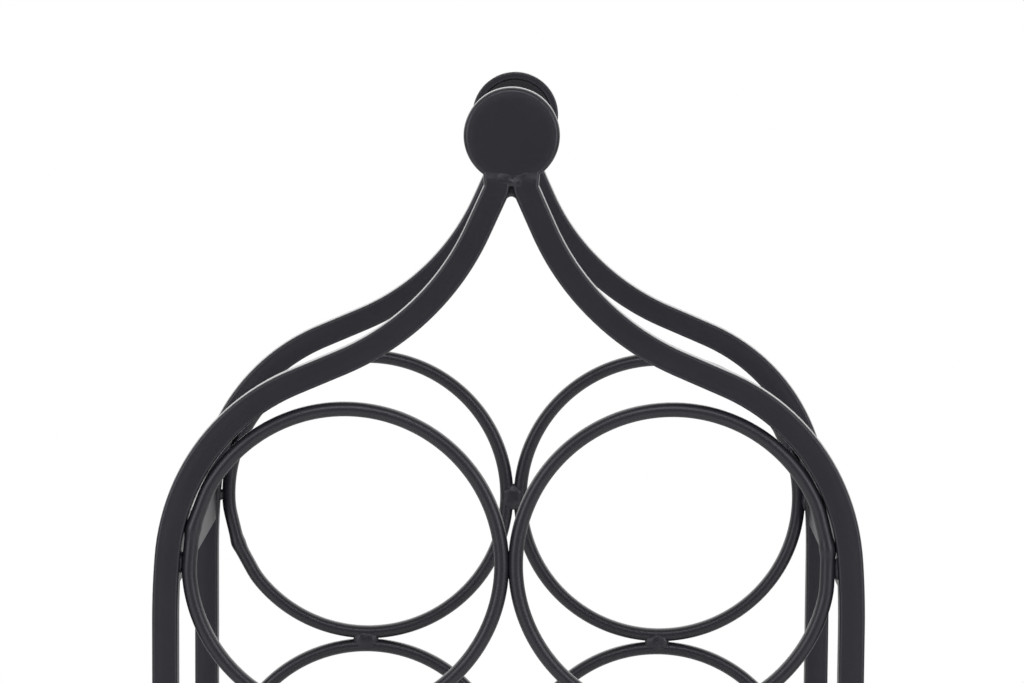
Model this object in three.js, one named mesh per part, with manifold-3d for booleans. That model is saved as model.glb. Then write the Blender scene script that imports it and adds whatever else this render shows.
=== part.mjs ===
// Wine rack in black coated steel, in millimetres. +Z is up and the front faces -Y.
// The origin is on the floor, under the middle of the rack.
// Two equal side frames stand back to back, the back one turned half a turn about Z, and flat
// crossbars join their posts. A frame is a hoop of square bar, an onion arch on two posts, with
// a rail across the bottom, a disc at the top and two columns of wire rings that hold the bottles.
import * as THREE from "three";
import { mergeVertices } from "three/addons/utils/BufferGeometryUtils.js";
import Module from "manifold-3d";

const wasm = await Module();
wasm.setup();

// Overall layout
const depth = 160; // over the outer faces of the two frames
const rowCount = 4; // rings in a column
const ringInside = 95; // clear bore of a bottle ring
const railHeight = 20; // from the floor to the underside of the bottom rail

// Stock
const bar = 8; // square bar of the hoops and rails
const barChamfer = 1; // its broken edges
const wire = 5; // round wire of the rings
const crossbarHeight = 18; // flat bar between the posts
const crossbarThickness = 5;
const crossbarChamfer = 0.6;
const crossbarRows = [0, rowCount - 1]; // rows, counted from the bottom, that have crossbars

// Clearances
const gap = 0.3; // between faces that touch

// Arch, from the top of the straight post to the neck. Angles are in degrees.
const leadRadius = 270; // slow bend at the top of the post
const leadAngle = 4.6;
const shoulderRise = 2.2; // the shoulder bend starts this far above the top rings' centres
const shoulderMargin = 14.5; // from the top ring's radius to the shoulder bend's
const shoulderAngle = 62.2;
const throatRadius = 83; // bends back towards upright
const throatAngle = 42.6;
const throatStraight = 15.4; // from the throat bend to the neck

// Disc
const discDiameter = 31;
const discWall = 2.4;
const discEdge = 1.4; // rounding of its front edge
const neckShow = 0.9; // upright length of the bars below the disc

// Welds
const beadLength = 8.5; // along the wires
const beadWidth = 4.8; // across two wires
const beadCrown = 1; // above the wires
const postBeadSink = 0.5; // how far a bead runs into its bar
const neckWebDepth = 3.2; // weld in the crotch below the neck
const neckPadWidth = 12;
const neckPadHeight = 9;
const neckPadThickness = 1.5;

// Feet
const capWall = 1.5;
const capHeight = 16;
const capFloor = 2;
const capRound = 1.5;

// Facets
const ringSteps = 36;
const wireSides = 8;
const discSteps = 48;
const facetError = 0.05; // between an arch's facets and its true bend

// Worked out from the sizes above
const radians = THREE.MathUtils.degToRad;
const ringOutside = ringInside + 2 * wire;
const pitch = ringOutside + gap;
const outerFace = -depth / 2; // front frame's outer face
const innerFace = outerFace + bar;
const ringPlane = outerFace + wire / 2; // the rings lie flush with the outer face
const postFoot = capFloor + gap;
const lowestRow = railHeight + bar + gap + ringOutside / 2;
const rowCentre = (row) => lowestRow + row * pitch;
const topRow = rowCount - 1;
const shoulderRadius = ringOutside / 2 + shoulderMargin;
const lead = radians(leadAngle);
const leadRise = leadRadius * Math.sin(lead);
const postTop = rowCentre(topRow) + shoulderRise - leadRise;
// The shoulder bend just clears the top ring, and that sets how far apart the posts stand.
const shoulderDrop = shoulderRadius * Math.sin(lead) - shoulderRise;
const ringToShoulder = shoulderMargin - bar / 2 - gap;
const shoulderCentre = pitch / 2 - Math.sqrt(ringToShoulder ** 2 - shoulderDrop ** 2);
const leadRun = leadRadius * (1 - Math.cos(lead));
const postCentre = shoulderCentre + shoulderRadius * Math.cos(lead) + leadRun;
const postRingGap = postCentre - bar / 2 - pitch / 2 - ringOutside / 2;
// The hoop already leans in by this much level with the top rings' centres.
const leanAtTopRow = leadRadius - Math.sqrt(leadRadius ** 2 - (leadRise - shoulderRise) ** 2);
const neckCentre = (bar + gap) / 2;
const discDepth = bar; // its rim is level with the bars' inner faces

// Middle line of one hoop half as stations: u is the distance from the rack's middle plane, z the
// height, heading the angle from upright towards the middle, and stretch widens a mitred corner.
function hoopStations() {
  const stations = [{ u: postCentre, z: postFoot, heading: 0, stretch: 1 }];
  const shoulder = lead + radians(shoulderAngle);
  const throat = shoulder - radians(throatAngle);
  let u = postCentre;
  let z = postTop;
  let heading = 0;

  function straight(length) {
    u -= length * Math.sin(heading);
    z += length * Math.cos(heading);
  }
  function bend(radius, target) {
    const turn = target - heading;
    const side = Math.sign(turn);
    const centreU = u - side * radius * Math.cos(heading);
    const centreZ = z - side * radius * Math.sin(heading);
    const steps = Math.ceil(Math.abs(turn) / (2 * Math.acos(1 - facetError / radius)));
    for (let i = 0; i <= steps; i++) {
      const angle = heading + (turn * i) / steps;
      const place = {
        u: centreU + side * radius * Math.cos(angle),
        z: centreZ + side * radius * Math.sin(angle),
        heading: angle,
        stretch: 1,
      };
      stations.push(place);
      u = place.u;
      z = place.z;
    }
    heading = target;
  }

  // The straight between the two bends takes up whatever width is left, so the hoop always closes.
  const shoulderRun = shoulderRadius * (Math.cos(lead) - Math.cos(shoulder));
  const throatRun = throatRadius * (Math.cos(throat) - Math.cos(shoulder));
  const lastRun = throatStraight * Math.sin(throat);
  const bends = leadRun + shoulderRun + throatRun + lastRun;
  const middleStraight = (postCentre - neckCentre - bends) / Math.sin(shoulder);

  bend(leadRadius, lead);
  bend(shoulderRadius, shoulder);
  straight(middleStraight);
  bend(throatRadius, throat);
  straight(throatStraight);
  stations.push({ u, z, heading: throat / 2, stretch: 1 / Math.cos(throat / 2) });
  return { stations, neckHeight: z, neckHeading: throat };
}

const { stations: hoop, neckHeight, neckHeading } = hoopStations();
const discCentre = neckHeight + neckShow + discDiameter / 2;
const crotch = neckHeight - (bar / 2) * Math.tan(neckHeading / 2);
hoop.push({ u: neckCentre, z: discCentre, heading: 0, stretch: 1 });

// An outline in the X-Z plane made into a plate from y = from to y = to, with chamfered edges.
function plate(shape, from, to, chamfer = 0, curveSegments = 6) {
  const geometry = new THREE.ExtrudeGeometry(shape, {
    depth: to - from - 2 * chamfer,
    bevelEnabled: chamfer > 0,
    bevelThickness: chamfer,
    bevelSize: chamfer,
    bevelOffset: -chamfer,
    bevelSegments: 1,
    curveSegments,
  });
  geometry.translate(0, 0, chamfer);
  geometry.rotateX(Math.PI / 2);
  geometry.translate(0, to, 0);
  return geometry;
}

function rectangle(left, right, bottom, top) {
  const corners = [
    [left, bottom],
    [right, bottom],
    [right, top],
    [left, top],
  ];
  return new THREE.Shape(corners.map(([x, z]) => new THREE.Vector2(x, z)));
}

function solid(geometry) {
  const bare = geometry.clone();
  bare.deleteAttribute("normal");
  bare.deleteAttribute("uv");
  const merged = mergeVertices(bare);
  const vertProperties = Float32Array.from(merged.attributes.position.array);
  const triVerts = Uint32Array.from(merged.index.array);
  return new wasm.Manifold(new wasm.Mesh({ numProp: 3, vertProperties, triVerts }));
}

function geometryOf(body) {
  const mesh = body.getMesh();
  const geometry = new THREE.BufferGeometry();
  geometry.setAttribute("position", new THREE.BufferAttribute(mesh.vertProperties, 3));
  geometry.setIndex(new THREE.BufferAttribute(mesh.triVerts, 1));
  geometry.computeVertexNormals();
  return geometry;
}

// Section across a bead between two wires, in the plane square to them: x runs from wire to wire
// and y towards the inside of the rack. It follows each wire at the gap and has a crowned back.
function wireBeadSection() {
  const centre = (wire + gap) / 2;
  const radius = wire / 2 + gap;
  const edge = Math.acos((beadWidth / 2 - centre) / radius);
  const valley = Math.acos(-centre / radius);
  const edgeHeight = radius * Math.sin(edge);
  const shape = new THREE.Shape();
  shape.absarc(centre, 0, radius, edge, valley, false);
  shape.absarc(-centre, 0, radius, Math.PI - valley, Math.PI - edge, false);
  const crown = wire / 2 + beadCrown;
  shape.quadraticCurveTo(0, 2 * crown - edgeHeight, beadWidth / 2, edgeHeight);
  return shape;
}

// Section across a bead between a wire and the flat of a bar: the bar's face is x = 0.
function barBeadSection(wireGap) {
  const centre = -(wireGap + wire / 2);
  const radius = wire / 2 + gap;
  const over = radians(95); // how far it laps over the wire, from the bar's direction
  const under = radians(15);
  const crown = wire / 2 + beadCrown;
  const shape = new THREE.Shape();
  shape.absarc(centre, 0, radius, over, under, true);
  shape.lineTo(postBeadSink, radius * Math.sin(under));
  shape.lineTo(postBeadSink, crown);
  const startX = centre + radius * Math.cos(over);
  const startY = radius * Math.sin(over);
  shape.quadraticCurveTo((startX + postBeadSink) / 2, crown, startX, startY);
  return shape;
}

function beadGeometry(section) {
  const options = { depth: beadLength, bevelEnabled: false, curveSegments: 4 };
  const geometry = new THREE.ExtrudeGeometry(section, options);
  geometry.translate(0, 0, -beadLength / 2);
  return geometry;
}

// Half hoop of the front frame with the beads that hold its column of rings. side is 1 or -1.
function hoopHalf(side, discBore) {
  const edge = (offset) =>
    hoop.map(({ u, z, heading, stretch }) => {
      const x = u + offset * stretch * Math.cos(heading);
      return new THREE.Vector2(side * x, z + offset * stretch * Math.sin(heading));
    });
  const outline = new THREE.Shape([...edge(bar / 2), ...edge(-bar / 2).reverse()]);
  let body = solid(plate(outline, outerFace, innerFace, barChamfer)).subtract(discBore);
  for (let row = 0; row < rowCount; row++) {
    const lean = row === topRow ? leanAtTopRow : 0;
    const bead = beadGeometry(barBeadSection(postRingGap - lean));
    if (side < 0) bead.rotateY(Math.PI);
    bead.translate(side * (postCentre - bar / 2 - lean), ringPlane, rowCentre(row));
    body = body.add(solid(bead));
  }
  return geometryOf(body);
}

// Bottom rail of the front frame, with a bead under each lowest ring.
function railGeometry() {
  const reach = postCentre - bar / 2 - gap;
  const outline = rectangle(-reach, reach, railHeight, railHeight + bar);
  let body = solid(plate(outline, outerFace, innerFace, barChamfer));
  for (const side of [-1, 1]) {
    const bead = beadGeometry(barBeadSection(gap));
    bead.rotateY(Math.PI / 2);
    bead.translate((side * pitch) / 2, ringPlane, railHeight + bar);
    body = body.add(solid(bead));
  }
  return geometryOf(body);
}

function ringGeometry() {
  const radius = (ringInside + wire) / 2;
  const geometry = new THREE.TorusGeometry(radius, wire / 2, wireSides, ringSteps);
  geometry.rotateX(Math.PI / 2);
  return geometry;
}

// Shallow cup, open towards the inside of the rack, with a rounded front edge.
function discGeometry() {
  const radius = discDiameter / 2;
  const profile = [new THREE.Vector2(0, 0)];
  const roundSteps = 3;
  for (let i = 0; i <= roundSteps; i++) {
    const angle = (Math.PI / 2) * (i / roundSteps);
    const x = radius - discEdge + discEdge * Math.sin(angle);
    profile.push(new THREE.Vector2(x, discEdge - discEdge * Math.cos(angle)));
  }
  profile.push(new THREE.Vector2(radius, discDepth));
  profile.push(new THREE.Vector2(radius - discWall, discDepth));
  profile.push(new THREE.Vector2(radius - discWall, discWall));
  profile.push(new THREE.Vector2(0, discWall));
  return new THREE.LatheGeometry(profile, discSteps);
}

// Cylinder, a gap larger than the disc, that the hoop's ends are cut back by.
function discClearance() {
  const radius = discDiameter / 2 + gap;
  const geometry = new THREE.CylinderGeometry(radius, radius, 3 * bar, discSteps);
  geometry.translate(0, outerFace, discCentre);
  return solid(geometry);
}

// Weld at the neck: a web between the two bars below the crotch and a pad behind bars and disc.
function neckWeldGeometry() {
  const spread = Math.tan(neckHeading);
  const clear = gap / Math.cos(neckHeading) - gap / 2;
  const bottom = crotch - neckWebDepth;
  const half = neckWebDepth * spread - clear;
  const web = new THREE.Shape();
  web.moveTo(0, crotch - clear / spread);
  web.lineTo(-half, bottom);
  web.lineTo(half, bottom);
  const padFrom = innerFace + gap;
  const padTo = padFrom + neckPadThickness;
  const pad = new THREE.Shape();
  const padMiddle = bottom + neckPadHeight / 2 + neckWebDepth / 2;
  pad.absellipse(0, padMiddle, neckPadWidth / 2, neckPadHeight / 2, 0, 2 * Math.PI);
  const webSolid = solid(plate(web, outerFace + bar / 2, padFrom + neckPadThickness / 2));
  const padSolid = solid(plate(pad, padFrom, padTo, neckPadThickness / 2, 10));
  return geometryOf(webSolid.add(padSolid));
}

// Flat bar between a front and a back post, its inner face flush with theirs.
function crossbarGeometry(side, row) {
  const near = postCentre - bar / 2;
  const across = [side * near, side * (near + crossbarThickness)].sort((a, b) => a - b);
  const low = rowCentre(row) - crossbarHeight / 2;
  const outline = rectangle(across[0], across[1], low, low + crossbarHeight);
  return plate(outline, innerFace + gap, -innerFace - gap, crossbarChamfer);
}

// Plastic cap pushed on the foot of a post.
function footCapGeometry() {
  const inner = bar / 2 + gap;
  const outer = inner + capWall;
  const shape = new THREE.Shape();
  const flat = outer - capRound;
  shape.absarc(flat, flat, capRound, 0, Math.PI / 2);
  shape.absarc(-flat, flat, capRound, Math.PI / 2, Math.PI);
  shape.absarc(-flat, -flat, capRound, Math.PI, 1.5 * Math.PI);
  shape.absarc(flat, -flat, capRound, 1.5 * Math.PI, 2 * Math.PI);
  const chamfer = capWall / 3;
  const block = new THREE.ExtrudeGeometry(shape, {
    depth: capHeight - 2 * chamfer,
    bevelThickness: chamfer,
    bevelSize: chamfer,
    bevelOffset: -chamfer,
    bevelSegments: 1,
    curveSegments: 2,
  });
  block.translate(0, 0, chamfer);
  const pocket = new THREE.BoxGeometry(2 * inner, 2 * inner, 2 * capHeight);
  pocket.translate(0, 0, capFloor + capHeight);
  return geometryOf(solid(block).subtract(solid(pocket)));
}

function coatedSteel() {
  return new THREE.MeshStandardMaterial({ color: 0x323235, roughness: 0.5, metalness: 0 });
}

function blackPlastic() {
  return new THREE.MeshStandardMaterial({ color: 0x1c1c1d, roughness: 0.6, metalness: 0 });
}

function addPiece(group, name, geometry, material, position = [0, 0, 0]) {
  const mesh = new THREE.Mesh(geometry, material);
  mesh.name = name;
  mesh.position.set(...position);
  group.add(mesh);
}

// One side frame. place is "front" or "back"; sides are named as seen from the rack's front.
function sideFrame(place) {
  const group = new THREE.Group();
  const turned = place === "back";
  if (turned) group.rotation.z = Math.PI;
  const sideName = (side) => (side < 0 === turned ? "right" : "left");
  const discBore = discClearance();

  for (const side of [-1, 1]) {
    const column = sideName(side);
    addPiece(group, `${place}_${column}_hoop_bar`, hoopHalf(side, discBore), coatedSteel());
    for (let row = 0; row < rowCount; row++) {
      const centre = [(side * pitch) / 2, ringPlane, rowCentre(row)];
      addPiece(group, `${place}_${column}_ring_${row + 1}`, ringGeometry(), coatedSteel(), centre);
      if (row === 0) continue;
      const bead = beadGeometry(wireBeadSection()).rotateY(Math.PI / 2);
      const between = [(side * pitch) / 2, ringPlane, rowCentre(row) - pitch / 2];
      addPiece(group, `${place}_${column}_stack_weld_${row}`, bead, coatedSteel(), between);
    }
  }
  for (let row = 0; row < rowCount; row++) {
    const bead = beadGeometry(wireBeadSection());
    const between = [0, ringPlane, rowCentre(row)];
    addPiece(group, `${place}_row_weld_${row + 1}`, bead, coatedSteel(), between);
  }
  addPiece(group, `${place}_bottom_rail`, railGeometry(), coatedSteel());
  addPiece(group, `${place}_disc`, discGeometry(), coatedSteel(), [0, outerFace, discCentre]);
  addPiece(group, `${place}_neck_weld`, neckWeldGeometry(), coatedSteel());
  return group;
}

const rack = new THREE.Group();
rack.add(sideFrame("front"), sideFrame("back"));

for (const [sideName, side] of [["left", -1], ["right", 1]]) {
  for (const row of crossbarRows) {
    const level = row === 0 ? "lower" : "upper";
    addPiece(rack, `${sideName}_${level}_crossbar`, crossbarGeometry(side, row), coatedSteel());
  }
  for (const [place, facing] of [["front", -1], ["back", 1]]) {
    const foot = [side * postCentre, facing * (depth - bar) / 2, 0];
    addPiece(rack, `${place}_${sideName}_foot_cap`, footCapGeometry(), blackPlastic(), foot);
  }
}

export default rack;
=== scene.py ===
import math

import bpy
import numpy as np
from mathutils import Matrix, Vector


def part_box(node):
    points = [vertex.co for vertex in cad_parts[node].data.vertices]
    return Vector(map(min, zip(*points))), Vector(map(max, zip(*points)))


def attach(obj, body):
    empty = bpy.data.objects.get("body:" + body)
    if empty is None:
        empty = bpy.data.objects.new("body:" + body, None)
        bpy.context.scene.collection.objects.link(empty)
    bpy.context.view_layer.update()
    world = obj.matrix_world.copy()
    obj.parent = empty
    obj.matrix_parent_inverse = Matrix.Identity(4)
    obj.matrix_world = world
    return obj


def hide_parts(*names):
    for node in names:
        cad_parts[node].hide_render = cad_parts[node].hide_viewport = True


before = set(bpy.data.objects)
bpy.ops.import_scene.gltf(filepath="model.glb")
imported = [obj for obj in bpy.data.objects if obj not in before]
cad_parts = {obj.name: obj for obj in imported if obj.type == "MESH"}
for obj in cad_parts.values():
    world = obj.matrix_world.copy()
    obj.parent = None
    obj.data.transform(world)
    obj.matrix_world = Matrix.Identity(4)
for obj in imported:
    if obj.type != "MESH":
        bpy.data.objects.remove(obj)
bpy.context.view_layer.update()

# Sizes below are in millimetres and are turned to metres where a mesh is made.
mm = 0.001
rowCount = 4
frames = {"front": -1, "back": 1}  # which way each side frame's outer face looks along Y
columns = {"left": -1, "right": 1}


def corners(node):
    low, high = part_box(node)
    return np.array(low) / mm, np.array(high) / mm


def middle(node):
    low, high = corners(node)
    return (low + high) / 2


def size(node):
    low, high = corners(node)
    return high - low


ringOutside, wire = size("front_left_ring_1")[:2]
bar = size("front_disc")[1]  # the disc is as deep as the square bar
discRadius = size("front_disc")[0] / 2
postCentre = corners("front_right_hoop_bar")[1][0] - bar / 2
outerFace = corners("back_disc")[1][1]
rowHeights = [middle(f"front_left_ring_{row + 1}")[2] for row in range(rowCount)]
ringAcross = middle("front_right_ring_1")[0]
print("frame read: ring", round(ringOutside, 2), "wire", round(wire, 2), "post at", round(postCentre, 2))

coat = 0.1  # thickness of the powder coat, which is added to the bars

# how far each column of rings was welded off its place, to the right and up
offsets = {
    "front_left": (0.15, -0.15),
    "front_right": (-0.2, 0.45),
    "back_left": (0.3, 0.2),
    "back_right": (0.4, 0.0),
}


def linear(hexColour):
    parts = [int(hexColour[i:i + 2], 16) / 255 for i in (1, 3, 5)]
    return [c / 12.92 if c <= 0.04045 else ((c + 0.055) / 1.055) ** 2.4 for c in parts] + [1.0]


# Adds a node, sets its sockets by name or its properties, and links (node, output) pairs into it.
def addNode(tree, kind, sockets=None, links=None, **properties):
    node = tree.nodes.new(kind)
    for name, value in properties.items():
        setattr(node, name, value)
    for name, value in (sockets or {}).items():
        node.inputs[name].default_value = value
    for name, (source, output) in (links or {}).items():
        tree.links.new(source.outputs[output], node.inputs[name])
    return node


powderCoat = {
    "colour": "#18181d",
    "patchColour": "#1e1e24",
    "roughness": 0.38,
    "roughnessSpread": 0.05,
    "orangePeel": 1.6,  # mm between dimples
    "orangePeelDepth": 0.018,  # mm
    "grain": 0.45,  # mm, drawn coarser than the real 0.1 mm, which is too fine to show
    "grainDepth": 0.006,
    "patch": 14.0,  # mm, cloudy thickness of the powder
}


# Semi-matte polyester powder coat, baked on steel: an even charcoal black with soft wide
# highlights, a fine orange peel and a faint cloudiness where the powder lies thicker.
def makePowderCoat():
    material = bpy.data.materials.new("blackPowderCoat")
    material.use_nodes = True
    tree = material.node_tree
    shader = tree.nodes["Principled BSDF"]
    place = addNode(tree, "ShaderNodeTexCoord")
    scaled = addNode(tree, "ShaderNodeMapping", {"Scale": (1 / mm,) * 3}, {"Vector": (place, "Object")})
    patches, peel, grain = (
        addNode(
            tree, "ShaderNodeTexNoise", {"Scale": 1 / powderCoat[spacing], "Detail": detail},
            {"Vector": (scaled, "Vector")})
        for spacing, detail in (("patch", 2.0), ("orangePeel", 1.0), ("grain", 2.0)))
    # sockets 0, 6 and 7 of a colour mix are its factor and its two colours, output 2 the result
    mix = addNode(
        tree, "ShaderNodeMix", {6: linear(powderCoat["colour"]), 7: linear(powderCoat["patchColour"])},
        {0: (patches, "Fac")}, data_type="RGBA")
    tree.links.new(mix.outputs[2], shader.inputs["Base Color"])
    low = powderCoat["roughness"] - powderCoat["roughnessSpread"]
    high = powderCoat["roughness"] + powderCoat["roughnessSpread"]
    rough = addNode(tree, "ShaderNodeMapRange", {"To Min": low, "To Max": high}, {"Value": (grain, "Fac")})
    tree.links.new(rough.outputs["Result"], shader.inputs["Roughness"])
    dimples = addNode(
        tree, "ShaderNodeBump", {"Strength": 1.0, "Distance": powderCoat["orangePeelDepth"] * mm},
        {"Height": (peel, "Fac")})
    dust = addNode(
        tree, "ShaderNodeBump", {"Strength": 1.0, "Distance": powderCoat["grainDepth"] * mm},
        {"Height": (grain, "Fac"), "Normal": (dimples, "Normal")})
    tree.links.new(dust.outputs["Normal"], shader.inputs["Normal"])
    shader.inputs["IOR"].default_value = 1.5
    return material


footPlastic = {"colour": "#161617", "roughness": 0.55, "grain": 0.6, "grainDepth": 0.012}


# Moulded low-density polyethylene, slightly waxy, with the fine spark texture of its mould.
def makeFootPlastic():
    material = bpy.data.materials.new("mouldedPolyethylene")
    material.use_nodes = True
    tree = material.node_tree
    shader = tree.nodes["Principled BSDF"]
    place = addNode(tree, "ShaderNodeTexCoord")
    scaled = addNode(tree, "ShaderNodeMapping", {"Scale": (1 / mm,) * 3}, {"Vector": (place, "Object")})
    grain = addNode(
        tree, "ShaderNodeTexNoise", {"Scale": 1 / footPlastic["grain"], "Detail": 2.0},
        {"Vector": (scaled, "Vector")})
    bump = addNode(
        tree, "ShaderNodeBump", {"Strength": 1.0, "Distance": footPlastic["grainDepth"] * mm},
        {"Height": (grain, "Fac")})
    tree.links.new(bump.outputs["Normal"], shader.inputs["Normal"])
    shader.inputs["Base Color"].default_value = linear(footPlastic["colour"])
    shader.inputs["Roughness"].default_value = footPlastic["roughness"]
    shader.inputs["IOR"].default_value = 1.51
    return material


coatedSteel = makePowderCoat()
plastic = makeFootPlastic()
print("materials made")


# A grid of points, closed round its second direction. Its first direction either joins up too,
# or each end is closed by a fan of triangles to a tip, the mean of that end's points if not given.
# The volume under the faces is summed, and if it is negative all faces are turned over.
def addPiece(name, grid, stands=(), joined=False, tips=None, finish=None):
    count, around = grid.shape[:2]
    index = np.arange(count * around).reshape(count, around)
    here, beyond = (index, np.roll(index, -1, 0)) if joined else (index[:-1], index[1:])
    quads = np.stack([here, np.roll(here, -1, 1), np.roll(beyond, -1, 1), beyond], -1).reshape(-1, 4)
    points = grid.reshape(-1, 3)
    fans = np.zeros((0, 3), int)
    if not joined:
        ends = tips if tips is not None else (grid[0].mean(0), grid[-1].mean(0))
        points = np.vstack([points, ends])
        last = count * around
        first = np.stack([np.full(around, last), np.roll(index[0], -1), index[0]], -1)
        final = np.stack([np.full(around, last + 1), index[-1], np.roll(index[-1], -1)], -1)
        fans = np.vstack([first, final])
    triangles = np.vstack([quads[:, :3], quads[:, [0, 2, 3]], fans])
    a, b, c = (points[triangles[:, k]] for k in range(3))
    if (a * np.cross(b, c)).sum() < 0:
        quads, fans = quads[:, ::-1], fans[:, ::-1]
    mesh = bpy.data.meshes.new(name)
    mesh.from_pydata((points * mm).tolist(), [], quads.tolist() + fans.tolist())
    mesh.shade_smooth()
    mesh.materials.append(finish or coatedSteel)
    piece = bpy.data.objects.new(name, mesh)
    bpy.context.scene.collection.objects.link(piece)
    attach(piece, "root")
    if stands:
        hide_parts(*stands)
    return piece


# Rounded rectangle as an (n, 2) outline: a quarter circle at each corner, and beside it two
# points on the flats that keep the shading of the flats level. A crown lifts the flats' middles.
def roundedOutline(width, height, radius, steps=6, beside=0.2, crown=0.0):
    quarter = np.linspace(0, np.pi / 2, steps)
    arc = np.stack([np.cos(quarter), np.sin(quarter)], -1) * radius
    outline = []
    for turn, (signX, signY) in enumerate([(1, 1), (-1, 1), (-1, -1), (1, -1)]):
        angle = turn * np.pi / 2
        before, after = (height / 2 - radius, width / 2 - radius)[::1 - 2 * (turn % 2)]
        corner = np.vstack([
            [radius + crown, -before], [radius + crown / 2, -before / 2], [radius, -beside],
            arc, [-beside, radius], [-after / 2, radius + crown / 2]])
        spin = np.array([[np.cos(angle), np.sin(angle)], [-np.sin(angle), np.cos(angle)]])
        centre = np.array([signX * (width / 2 - radius), signY * (height / 2 - radius)])
        outline.append(corner @ spin + centre)
    return np.vstack(outline)


# point = place + outline x * first direction + outline y * second direction, at every station
def carry(places, first, second, outline):
    outline = np.broadcast_to(outline, (len(places), *outline.shape[-2:]))
    return places[:, None] + outline[..., :1] * first[:, None] + outline[..., 1:] * second[:, None]


hoop = {
    "cornerRadius": 1.0,
    "leadRadius": 270,  # slow bend above the straight post
    "leadAngle": 4.6,  # degrees
    "shoulderMargin": 14.5,  # shoulder bend's radius less the ring's
    "shoulderRise": 2.2,  # it starts this far above the top rings' centres
    "shoulderAngle": 62.2,
    "throatRadius": 83,
    "throatAngle": 42.6,
    "throatStraight": 15.4,
    "neckRadius": 5,  # tight bend back to upright
    "neckCentre": 4.5,  # the bar ends stand this far from the middle
    "neckHeading": -3.0,  # degrees past upright at their very ends
    "neckAbove": 7.2,  # length above the bend, which runs up over the disc's lower rim
    "endThickness": 1.8,  # the ends are cut slanting, down to this
    "endSet": 1.5,  # how far its middle lies behind the outer face
    "endLength": 7.0,
    "postInset": 0.25,  # the posts stand this much nearer the middle than drawn
    "thicken": 0.5,  # share of a bend's strain by which the bar grows thicker inside the bend
    "bendSoften": 6.0,  # length over which a bend sets in
    "bendMost": 0.02,  # per mm
    "crown": 0.18,  # the bar's faces are this much higher along their middle
    "stationStep": 3.0,
    "bowEnd": 16.0,  # the bow stops this far below the bar's end
    "bow": {  # how far each arch was bent outwards of its true line, halfway up
        "front_left": 0.2,
        "front_right": 0.6,
        "back_left": -0.5,
        "back_right": 1.4,
    },
}


# Middle line of a hoop half, from its foot up. The heading, measured from upright towards the
# rack's middle, is a straight-line function of the length: level on a straight, sloping on a bend.
# The place is the running sum of (-sin, cos) of the heading over the length.
def hoopLine(foot):
    lead, shoulder = np.radians([hoop["leadAngle"], hoop["leadAngle"] + hoop["shoulderAngle"]])
    throat = shoulder - math.radians(hoop["throatAngle"])
    final = math.radians(hoop["neckHeading"])
    shoulderRadius = ringOutside / 2 + hoop["shoulderMargin"]
    postTop = rowHeights[-1] + hoop["shoulderRise"] - hoop["leadRadius"] * math.sin(lead)
    neckHalf = hoop["neckRadius"] * math.tan(throat / 2)
    start = postCentre - hoop["postInset"]
    run = (start - hoop["neckCentre"] - hoop["leadRadius"] * (1 - math.cos(lead))
           - shoulderRadius * (math.cos(lead) - math.cos(shoulder))
           - hoop["throatRadius"] * (math.cos(throat) - math.cos(shoulder))
           - hoop["throatStraight"] * math.sin(throat))
    stretches = [
        (postTop - foot, 0.0),
        (hoop["leadRadius"] * lead, lead),
        (shoulderRadius * (shoulder - lead), shoulder),
        (run / math.sin(shoulder), shoulder),
        (hoop["throatRadius"] * (shoulder - throat), throat),
        (hoop["throatStraight"] - neckHalf, throat),
        (hoop["neckRadius"] * throat, final),
        (hoop["neckAbove"], final),
    ]
    ends = np.concatenate([[0], np.cumsum([length for length, heading in stretches])])
    headings = np.array([0.0] + [heading for length, heading in stretches])
    fine = np.linspace(0, ends[-1], 20001)
    heading = np.interp(fine, ends, headings)
    step = fine[1]
    middles = (heading[1:] + heading[:-1]) / 2
    u = start - np.concatenate([[0], np.cumsum(np.sin(middles) * step)])
    z = foot + np.concatenate([[0], np.cumsum(np.cos(middles) * step)])
    even = np.arange(0, ends[-1], hoop["stationStep"])
    tight = np.linspace(ends[-4], ends[-1], 40)
    stations = np.sort(np.concatenate([even, tight]))
    stations = stations[np.diff(stations, prepend=-1) > 0.1]
    window = int(hoop["bendSoften"] / step)
    bend = np.convolve(np.gradient(heading, step), np.ones(window) / window, "same")
    return tuple(np.interp(stations, fine, values) for values in (u, z, heading, bend))


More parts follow.
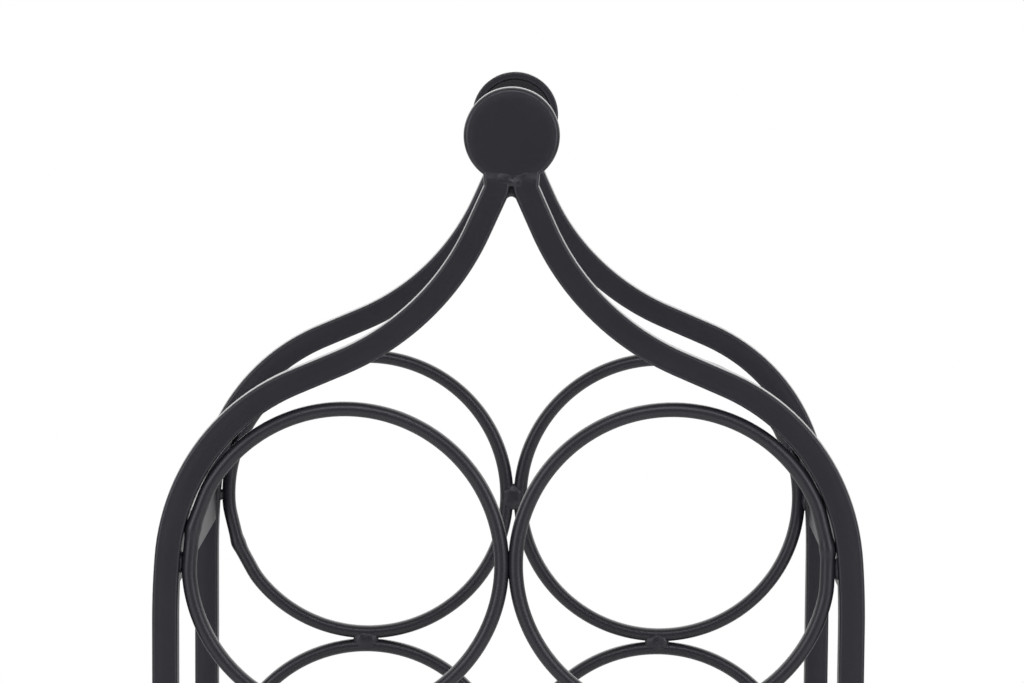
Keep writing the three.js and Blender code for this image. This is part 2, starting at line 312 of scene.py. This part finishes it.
# The bar's section is the rounded square, its depth scaled by one less the strain across the bend
# times a share, so that a bent face leans a little away from the inside of its bend. The whole
# line is pushed outwards by its bow times the square of a sine over the arch's height. Towards
# its end the bar thins along a smooth step and moves to the outer face.
def makeHoops():
    outline = roundedOutline(bar + 2 * coat, bar + 2 * coat, hoop["cornerRadius"], crown=hoop["crown"])
    foot = corners("front_left_hoop_bar")[0][2]
    u, z, heading, bend = hoopLine(foot)
    bend = np.clip(bend, -hoop["bendMost"], hoop["bendMost"])
    deeper = 1 - hoop["thicken"] * bend[:, None] * outline[:, 0]
    sections = np.stack([outline[:, 0] + 0 * deeper, outline[:, 1] * deeper], -1)
    for place, facing in frames.items():
        for column, side in columns.items():
            y = np.full_like(u, facing * (outerFace - bar / 2))
            outward = np.stack([side * np.cos(heading), 0 * heading, np.sin(heading)], -1)
            along = np.tile([0.0, 1.0, 0.0], (len(u), 1))
            arch = np.clip((z - rowHeights[-1]) / (z[-1] - hoop["bowEnd"] - rowHeights[-1]), 0, 1)
            bow = hoop["bow"][f"{place}_{column}"] * np.sin(np.pi * arch) ** 2
            near = np.clip(1 - (z[-1] - z) / hoop["endLength"], 0, 1)
            slant = near ** 2 * (3 - 2 * near)
            y = y + facing * (bar / 2 - hoop["endSet"]) * slant
            thinner = 1 + (hoop["endThickness"] / (bar + 2 * coat) - 1) * slant
            places = np.stack([side * u, y, z], -1) + outward * bow[:, None]
            node = f"{place}_{column}_hoop_bar"
            cut = sections * np.stack([1 + 0 * thinner, thinner], -1)[:, None]
            addPiece(f"{place}_{column}_hoop", carry(places, outward, along, cut), [node])


ring = {
    "stations": 240,
    "sides": 24,
    "wire": 4.8,  # drawn so that neighbouring rings just touch
    "flat": 0.45,  # how far the straight wire ends lie inside the true circle
    "flatSpan": 15.0,  # degrees of ring on each side of the butt weld
    "swell": 0.35,  # of the butt weld
    "swellLength": 2.0,
    "seams": {  # degrees round from the right, as seen from the front
        "front_left": [171, 187, 165, 167],
        "front_right": [12, -8, 15, 6.5],
        "back_left": [188, 170, 195, 201],
        "back_right": [-10, 9, -14, 28],
    },
}


# A ring is a circle of wire whose radius dips by a parabola on each side of the butt weld, where
# the wire's ends stayed straight, and whose wire swells by a bell curve at the weld itself.
def makeRing(place, column, row):
    name = f"{place}_{column}_ring_{row + 1}"
    aside, above = offsets[f"{place}_{column}"]
    centre = middle(name) + np.array([aside, 0, above])
    angle = np.linspace(0, 2 * np.pi, ring["stations"], endpoint=False)
    seam = math.radians(ring["seams"][f"{place}_{column}"][row])
    away = (angle - seam + np.pi) % (2 * np.pi) - np.pi
    span = math.radians(ring["flatSpan"]) / 2
    dip = ring["flat"] * np.clip(1 - ((np.abs(away) - span) / span) ** 2, 0, None)
    soften = np.exp(-np.linspace(-2, 2, 9) ** 2)
    dip = np.convolve(np.tile(dip, 3), soften / soften.sum(), "same")[len(dip):2 * len(dip)]
    radius = ringAcross - ring["wire"] / 2 - dip
    swell = ring["swell"] * np.exp(-(away * radius / ring["swellLength"]) ** 2)
    radial = np.stack([np.cos(angle), 0 * angle, np.sin(angle)], -1)
    along = np.tile([0.0, 1.0, 0.0], (len(angle), 1))
    turn = np.linspace(0, 2 * np.pi, ring["sides"], endpoint=False)
    section = np.stack([np.cos(turn), np.sin(turn)], -1)
    outline = section[None] * (ring["wire"] / 2 + swell)[:, None, None]
    grid = carry(centre + radial * radius[:, None], radial, along, outline)
    addPiece(f"{name}_wire", grid, [name], joined=True)


disc = {
    "crown": 0.2,  # the face is domed by this much
    "set": 0.3,  # its edge lies this far behind the bars' faces
    "rimRadius": 1.6,
    "roll": 0.16,  # extra fall of the face towards its edge, over the last part of its radius
    "rollStart": 0.82,
    "wall": 2.5,  # rim of the recess
    "shrink": 0.2,  # its radius is this much less than drawn
    "innerRadius": 0.7,  # rounding of the back edge
    "floor": 2.4,  # the recess ends this far behind the outer face
    "around": 128,
}


# Turned profile of the disc as radius and depth from the outer face: a shallow dome that falls
# away by a square law near its edge, a quarter circle over the rim, the side wall, a rounded back
# edge, and the recess behind.
def makeDisc(place, facing):
    node = f"{place}_disc"
    centre = middle(node)
    radius = discRadius - disc["shrink"]
    flat = radius - disc["rimRadius"]
    face = np.linspace(0.04, 1, 30) * flat
    late = np.clip((face / flat - disc["rollStart"]) / (1 - disc["rollStart"]), 0, 1) ** 2
    quarter = np.linspace(0, np.pi / 2, 9)[1:]
    small = disc["innerRadius"]
    inside = radius - disc["wall"]
    depth = size(node)[1]
    floor = disc["floor"]
    rim = disc["rimRadius"]
    dome = disc["set"] - disc["crown"] * (1 - (face / flat) ** 2) - disc["roll"] * (1 - late)
    profile = [
        np.stack([face, dome], -1),
        np.stack([flat + rim * np.sin(quarter), disc["set"] + rim * (1 - np.cos(quarter))], -1),
        np.array([[radius, rim + 1.0], [radius, depth - small - 0.3]]),
        np.stack([radius - small * (1 - np.cos(quarter)), depth - small * (1 - np.sin(quarter))], -1),
        np.stack([inside + small - small * np.sin(quarter), depth - small * (1 - np.cos(quarter))], -1),
        np.array([[inside, floor + 1.0], [inside - 0.3, floor + 0.3], [inside - 1, floor], [0.6, floor]]),
    ]
    profile = np.vstack(profile)
    angle = np.linspace(0, 2 * np.pi, disc["around"], endpoint=False)
    radial = np.stack([np.cos(angle), 0 * angle, np.sin(angle)], -1)
    faceMiddle = np.array([centre[0], facing * outerFace, centre[2]])
    inward = np.array([0.0, -facing, 0.0])
    grid = faceMiddle + profile[:, None, :1] * radial[None] + profile[:, None, 1:] * inward
    tips = (faceMiddle + inward * profile[0][1], faceMiddle + inward * floor)
    addPiece(f"{place}_apex_disc", grid, [node], tips=tips)


bead = {
    "lumps": 0.1,  # share of its size that a bead's surface rises and falls
    "ripples": 2.5,
    "square": 0.9,  # below 1 the bead is squarer than an ellipsoid
    "rows": 30,
    "around": 36,
}


# A weld bead is a rounded block: the sine of latitude along it, and the cosine of latitude times
# the cosine and sine of longitude across it, each raised to a power that squares it up a little.
# It is swollen by one plus a few sine waves, which make it lumpy.
def makeBead(name, centre, axes, halves, seed, stands=()):
    random = np.random.default_rng(seed)
    latitude = np.linspace(-np.pi / 2, np.pi / 2, bead["rows"] + 2)[1:-1, None]
    longitude = np.linspace(0, 2 * np.pi, bead["around"], endpoint=False)[None]

    def squared(values):
        return np.sign(values) * np.abs(values) ** bead["square"]

    block = np.stack([
        squared(np.sin(latitude)) + 0 * longitude,
        squared(np.cos(latitude)) * squared(np.cos(longitude)),
        squared(np.cos(latitude)) * squared(np.sin(longitude)),
    ], -1)
    wave = np.zeros(block.shape[:2])
    for k in range(5):
        direction = random.normal(size=3) * (1.2 + 0.6 * k)
        wave += np.sin(block @ direction + random.uniform(0, 6.28)) / (1 + 0.5 * k)
    wave += 0.5 * np.sin(bead["ripples"] * np.pi * block[..., 0] + random.uniform(0, 6.28))
    swell = 1 + bead["lumps"] * wave / 2
    grid = np.array(centre) + (block * swell[..., None] * np.array(halves)) @ np.array(axes, float)
    return addPiece(name, grid, stands)


# half sizes, and how far a bead's middle lies inwards of the wires' plane
rowBead = {"along": 4.6, "across": 3.9, "deep": 1.8, "in": 1.1}
stackBead = {"along": 4.3, "across": 3.3, "deep": 1.8, "in": 1.2}
postBead = {
    "along": 3.9,
    "across": 1.7,
    "deep": 2.1,
    "in": 1.3,
    "spread": 0.3,  # share by which a bead may be shorter
    "short": {"back_left": 0.55},  # share of its length that this top bead has
}
railBead = {"along": 3.6, "across": 2.2, "deep": 2.0, "in": 1.6}


# Beads lie on the inner side of each frame's rings, in the valley between two wires or between
# a wire and a bar.
def makeBeads():
    right, up = [1, 0, 0], [0, 0, 1]
    for place, facing in frames.items():
        inward = [0, -facing, 0]
        plane = facing * (outerFace - wire / 2)
        for row in range(rowCount):
            z = rowHeights[row]
            seed = 100 * row + (7 if facing < 0 else 31)
            y = plane - facing * rowBead["in"]
            halves = (rowBead["along"], rowBead["across"], rowBead["deep"])
            makeBead(f"{place}_row_bead_{row + 1}", (0, y, z), (up, right, inward), halves, seed,
                     [f"{place}_row_weld_{row + 1}"])
            for column, side in columns.items():
                if row:
                    seed += 3
                    y = plane - facing * stackBead["in"]
                    halves = (stackBead["along"], stackBead["across"], stackBead["deep"])
                    centre = (side * ringAcross, y, (rowHeights[row] + rowHeights[row - 1]) / 2)
                    makeBead(f"{place}_{column}_stack_bead_{row}", centre, (right, up, inward), halves, seed,
                             [f"{place}_{column}_stack_weld_{row}"])
                seed += 5
                y = plane - facing * postBead["in"]
                gapMiddle = (ringAcross + ringOutside / 2 + postCentre - hoop["postInset"] - bar / 2) / 2
                scale = 1 - postBead["spread"] * np.random.default_rng(seed).uniform()
                if row == rowCount - 1:
                    scale = postBead["short"].get(f"{place}_{column}", 1.0)
                halves = (postBead["along"] * scale, postBead["across"], postBead["deep"])
                makeBead(f"{place}_{column}_post_bead_{row + 1}", (side * gapMiddle, y, z),
                         (up, right, inward), halves, seed)
        for column, side in columns.items():
            railTop = corners(f"{place}_bottom_rail")[0][2] + bar
            z = (railTop + rowHeights[0] - ringOutside / 2) / 2
            halves = (railBead["along"], railBead["across"], railBead["deep"])
            makeBead(f"{place}_{column}_rail_bead", (side * ringAcross, plane - facing * railBead["in"], z),
                     (right, up, inward), halves, 400 + 9 * side + facing)


# Fillets where a crossbar's ends meet the posts, down its outer side, and short ones in the
# corners between a bottom rail and the posts.
fillet = {
    "radius": 1.5,
    "short": 0.8,  # a crossbar's fillet ends this far inside its edges
    "rail": 3.0,  # half length of a rail's fillet
    "railDeep": 0.7,
}


def makeFillets():
    right, up = [1, 0, 0], [0, 0, 1]
    for place, facing in frames.items():
        inward = [0, -facing, 0]
        for column, side in columns.items():
            for level in ("lower", "upper"):
                low, high = corners(f"{column}_{level}_crossbar")
                outer = max(abs(low[0]), abs(high[0]))
                centre = (side * outer, facing * (outerFace - bar), (low[2] + high[2]) / 2)
                halves = ((high[2] - low[2]) / 2 - fillet["short"], fillet["radius"], fillet["radius"])
                makeBead(f"{place}_{column}_{level}_crossbar_fillet", centre, (up, right, inward), halves,
                         500 + 13 * side + 5 * facing + len(level))
            low, high = corners(f"{place}_bottom_rail")
            centre = (side * (postCentre - hoop["postInset"] - bar / 2), facing * (outerFace - bar),
                      low[2] + bar / 2)
            makeBead(f"{place}_{column}_rail_fillet", centre, (up, right, inward),
                     (fillet["rail"], fillet["radius"], fillet["railDeep"]), 600 + 11 * side + 3 * facing)


railReach = 0.2  # how far a rail's or crossbar's ends run into the posts' coat


# The rounded square carried straight along X, from post to post.
def makeRails():
    outline = roundedOutline(bar + 2 * coat, bar + 2 * coat, hoop["cornerRadius"])
    for place, facing in frames.items():
        node = f"{place}_bottom_rail"
        low, high = corners(node)
        x = np.linspace(low[0] - railReach, high[0] + railReach, 40)
        z = low[2] + bar / 2
        places = np.stack([x, 0 * x + facing * (outerFace - bar / 2), 0 * x + z], -1)
        along = np.tile([0.0, 1.0, 0.0], (len(x), 1))
        upright = np.tile([0.0, 0.0, 1.0], (len(x), 1))
        addPiece(f"{place}_rail", carry(places, upright, along, outline), [node])


crossbar = {"trim": 0.4, "round": 0.8}  # trimmed above and below


# A rounded rectangle carried straight along Y, from post to post.
def makeCrossbars():
    for column, side in columns.items():
        for level in ("lower", "upper"):
            node = f"{column}_{level}_crossbar"
            low, high = corners(node)
            y = np.linspace(low[1] - railReach, high[1] + railReach, 30)
            centre = (low + high) / 2
            tall = high[2] - low[2] - 2 * crossbar["trim"]
            outline = roundedOutline(high[0] - low[0], tall, crossbar["round"])
            places = np.stack([0 * y + centre[0], y, 0 * y + centre[2]], -1)
            sideways = np.tile([1.0, 0.0, 0.0], (len(y), 1))
            upright = np.tile([0.0, 0.0, 1.0], (len(y), 1))
            addPiece(f"{column}_{level}_crossbar_flat", carry(places, sideways, upright, outline), [node])


footCap = {
    "round": 2.0,  # upright edges
    "top": 0.7,
    "bottom": 1.2,
    "flare": 0.25,  # wider at the floor than at the mouth
}


# A cap is a rounded square carried up from the floor: it grows by a quarter circle at the bottom
# edge, narrows a little to the mouth, turns in over the lip and runs down inside to the post.
def makeFootCaps():
    for place in frames:
        for column in columns:
            node = f"{place}_{column}_foot_cap"
            low, high = corners(node)
            centre = (low + high) / 2
            width = high[0] - low[0]
            tall = high[2] - low[2]
            quarter = np.linspace(0, np.pi / 2, 6)
            bottom, top, flare = footCap["bottom"], footCap["top"], footCap["flare"]
            inset = np.concatenate([
                bottom * (1 - np.sin(quarter)),
                [flare * 0.5],
                flare + top * (1 - np.cos(quarter)),
                [flare + top + 0.25, flare + top + 0.3],
            ])
            height = np.concatenate([
                bottom * (1 - np.cos(quarter)),
                [tall * 0.5],
                tall - top * (1 - np.sin(quarter)),
                [tall - 0.3, tall - 3],
            ])
            outline = np.stack([
                roundedOutline(width - 2 * i, width - 2 * i, max(footCap["round"] - i, 0.4)) for i in inset])
            places = np.stack([0 * height + centre[0], 0 * height + centre[1], low[2] + height], -1)
            sideways = np.tile([1.0, 0.0, 0.0], (len(height), 1))
            along = np.tile([0.0, 1.0, 0.0], (len(height), 1))
            addPiece(f"{place}_{column}_foot", carry(places, sideways, along, outline), [node],
                     finish=plastic)


neck = {  # heights are below the disc's centre
    "webTop": 15.2,
    "webBottom": 19.5,  # in the middle of its hollow lower edge
    "webSag": 0.34,  # per mm aside squared
    "webHalf": 3.4,
    "webDepth": 4.0,
    "webRound": 1.2,
    "skinHalf": 7.4,  # the melted skin over the bar ends: half its width
    "skinTop": 11.2,
    "skinBottom": 16.0,
    "skinDroop": 0.9,  # per mm aside, over the bars
    "skinBack": 1.4,
    "skinLevel": -0.16,  # above the bars' faces
    "skinFall": 0.4,
    "skinWave": 0.7,  # of its upper border
    "lumps": [  # aside, height, spread across and up, rise
        (-3.8, 14.2, 2.4, 1.6, 0.40),
        (2.2, 15.0, 1.7, 1.4, 0.38),
        (4.8, 12.8, 1.3, 1.6, 0.16),
        (0.4, 13.7, 0.9, 0.8, -0.34),
    ],
    "pad": (5.6, 4.0, 1.3),
    "padHeight": 14.0,
}


# Weld metal at the neck. The web closes the crotch: across it runs a rounded block whose lower
# edge hangs down by a square law towards the bars. Behind the bars and the disc lies a pad. In
# front a thin skin bridges the bars and runs up onto the disc: its height over the faces is a sum
# of bell curves, one of them a pit, and falls away below the faces towards its border.
def makeNeckWelds():
    right, up = [1, 0, 0], [0, 0, 1]
    for place, facing in frames.items():
        node = f"{place}_neck_weld"
        inward = [0, -facing, 0]
        aside, _, high = middle(f"{place}_disc")
        x = np.linspace(-neck["webHalf"], neck["webHalf"], 25)
        bottom = high - neck["webBottom"] - neck["webSag"] * x ** 2
        top = high - neck["webTop"]
        y = facing * (outerFace - bar / 2)
        outline = np.stack([
            roundedOutline(top - b, neck["webDepth"], neck["webRound"]) for b in bottom])
        places = np.stack([x + aside, 0 * x + y, (top + bottom) / 2], -1)
        upright = np.tile([0.0, 0.0, 1.0], (len(x), 1))
        along = np.tile([0.0, 1.0, 0.0], (len(x), 1))
        addPiece(f"{place}_crotch_web", carry(places, upright, along, outline), [node])
        makeBead(f"{place}_neck_pad", (aside, facing * (outerFace - bar - coat), high - neck["padHeight"]),
                 (right, up, inward), neck["pad"], 17 + facing)
        x = np.linspace(-neck["skinHalf"], neck["skinHalf"], 60)[:, None]
        rise = np.linspace(0, 1, 40)[None]
        bottom = neck["skinBottom"] + neck["skinDroop"] * (np.hypot(x, 1) - 1)
        top = neck["skinTop"] + neck["skinWave"] * np.sin(0.9 * x + 1)
        below = bottom + (top - bottom) * rise
        level = neck["skinLevel"] + 0 * below
        for lumpX, lumpZ, wide, tall, lift in neck["lumps"]:
            level += lift * np.exp(-((x - lumpX) / wide) ** 2 - ((below - lumpZ) / tall) ** 2)
        border = np.maximum(np.abs(x) / neck["skinHalf"], np.abs(2 * rise - 1))
        level -= neck["skinFall"] * np.clip((border - 0.2) / 0.8, 0, 1) ** 2
        back = np.full((len(x), 4), -neck["skinBack"])
        turned = np.linspace(1, 0, 6)[None, 1:-1]
        below = np.hstack([below, bottom + (top - bottom) * turned])
        level = np.hstack([level, back])
        across = aside - facing * (x + 0 * below)
        skin = np.stack([across, facing * (outerFace + coat + level), high - below], -1)
        addPiece(f"{place}_neck_skin", skin)


makeHoops()
print("hoops made")
for place in frames:
    for column in columns:
        for row in range(rowCount):
            makeRing(place, column, row)
print("rings made")
for place, facing in frames.items():
    makeDisc(place, facing)
makeBeads()
makeNeckWelds()
makeFillets()
makeRails()
makeCrossbars()
makeFootCaps()
print("discs, welds, rails, crossbars and feet made")


view = {
    "aside": 9.56,  # camera from the middle plane
    "before": 1207.2,  # in front of the front frame
    "above": 196.8,  # above the top rings' centres
    "pitch": 5.881,  # degrees down
    "yaw": -0.427,  # degrees to the right
    "roll": 0.414,  # degrees, right side up
    "lens": 134.02,
}


def makeCamera():
    data = bpy.data.cameras.new("camera")
    data.lens = view["lens"]
    data.sensor_width = 36
    data.clip_end = 50
    camera = bpy.data.objects.new("camera", data)
    place = [view["aside"], -outerFace - view["before"], rowHeights[-1] + view["above"]]
    camera.location = np.array(place) * mm
    turned = Matrix.Rotation(math.radians(-view["yaw"]), 3, "Z")
    turned @= Matrix.Rotation(math.radians(90 - view["pitch"]), 3, "X")
    turned @= Matrix.Rotation(math.radians(view["roll"]), 3, "Z")
    camera.rotation_euler = turned.to_euler()
    bpy.context.scene.collection.objects.link(camera)
    bpy.context.scene.camera = camera


studio = {
    "floorSize": 2.6,  # metres
    "floorColour": "#cecece",
    "floorRoughness": 0.9,
    "backLevel": 0.72,  # of the light from behind and a little below
    "backLowLevel": 0.15,
    "backTopMore": 2.2,  # added where the white behind rises
    "frontLevel": 0.165,
    "boxColour": "#f6f6ff",
    "boxDistance": 1.8,
    "boxes": {  # degrees to the right and up, then metres wide and tall, and watts
        "leftSoftbox": (-42, 11, 0.8, 1.2, 10.0),
        "rightSoftbox": (42, 11, 0.8, 1.2, 10.0),
        "topSoftbox": (0, 38, 1.2, 0.5, 9.5),
    },
}


# The world is plain white to the camera. To the rack its level goes from frontLevel to the back's
# along Y, and the back's own level rises with height in two steps.
def makeStudio():
    mesh = bpy.data.meshes.new("floor")
    half = studio["floorSize"] / 2
    square = [(-half, -half, 0), (half, -half, 0), (half, half, 0), (-half, half, 0)]
    mesh.from_pydata(square, [], [(0, 1, 2, 3)])
    paper = bpy.data.materials.new("whitePaper")
    paper.use_nodes = True
    shader = paper.node_tree.nodes["Principled BSDF"]
    shader.inputs["Base Color"].default_value = linear(studio["floorColour"])
    shader.inputs["Roughness"].default_value = studio["floorRoughness"]
    mesh.materials.append(paper)
    floor = bpy.data.objects.new("floor", mesh)
    bpy.context.scene.collection.objects.link(floor)

    world = bpy.data.worlds.new("studio")
    bpy.context.scene.world = world
    world.use_nodes = True
    tree = world.node_tree
    tree.nodes.clear()
    place = addNode(tree, "ShaderNodeTexCoord")
    split = addNode(tree, "ShaderNodeSeparateXYZ", None, {"Vector": (place, "Generated")})
    low = addNode(
        tree, "ShaderNodeMapRange",
        {"From Min": -0.7, "From Max": -0.1, "To Min": studio["backLowLevel"], "To Max": studio["backLevel"]},
        {"Value": (split, "Z")})
    high = addNode(
        tree, "ShaderNodeMapRange", {"From Min": -0.02, "From Max": 0.15, "To Max": studio["backTopMore"]},
        {"Value": (split, "Z")})
    rise = addNode(tree, "ShaderNodeMath", None, {0: (low, "Result"), 1: (high, "Result")}, operation="ADD")
    level = addNode(
        tree, "ShaderNodeMapRange",
        {"From Min": -0.2, "From Max": 0.7, "To Min": studio["frontLevel"]},
        {"Value": (split, "Y"), "To Max": (rise, 0)})
    white = (1.0, 1.0, 1.0, 1.0)
    lit = addNode(tree, "ShaderNodeBackground", {"Color": white}, {"Strength": (level, "Result")})
    seen = addNode(tree, "ShaderNodeBackground", {"Color": white, "Strength": 1.0})
    path = addNode(tree, "ShaderNodeLightPath")
    both = addNode(tree, "ShaderNodeMixShader", None, {0: (path, "Is Camera Ray"), 1: (lit, 0), 2: (seen, 0)})
    addNode(tree, "ShaderNodeOutputWorld", None, {"Surface": (both, 0)})

    for name, (aside, up, width, height, power) in studio["boxes"].items():
        data = bpy.data.lights.new(name, "AREA")
        data.shape = "RECTANGLE"
        data.size = width
        data.size_y = height
        data.energy = power
        data.color = linear(studio["boxColour"])[:3]
        box = bpy.data.objects.new(name, data)
        turned = Matrix.Rotation(math.radians(aside), 3, "Z") @ Matrix.Rotation(math.radians(90 - up), 3, "X")
        box.rotation_euler = turned.to_euler()
        box.location = turned.col[2] * studio["boxDistance"]
        box.location.z += rowHeights[-1] * mm
        bpy.context.scene.collection.objects.link(box)
    bpy.context.scene.view_settings.view_transform = "Standard"


makeCamera()
makeStudio()
print("camera and studio made")
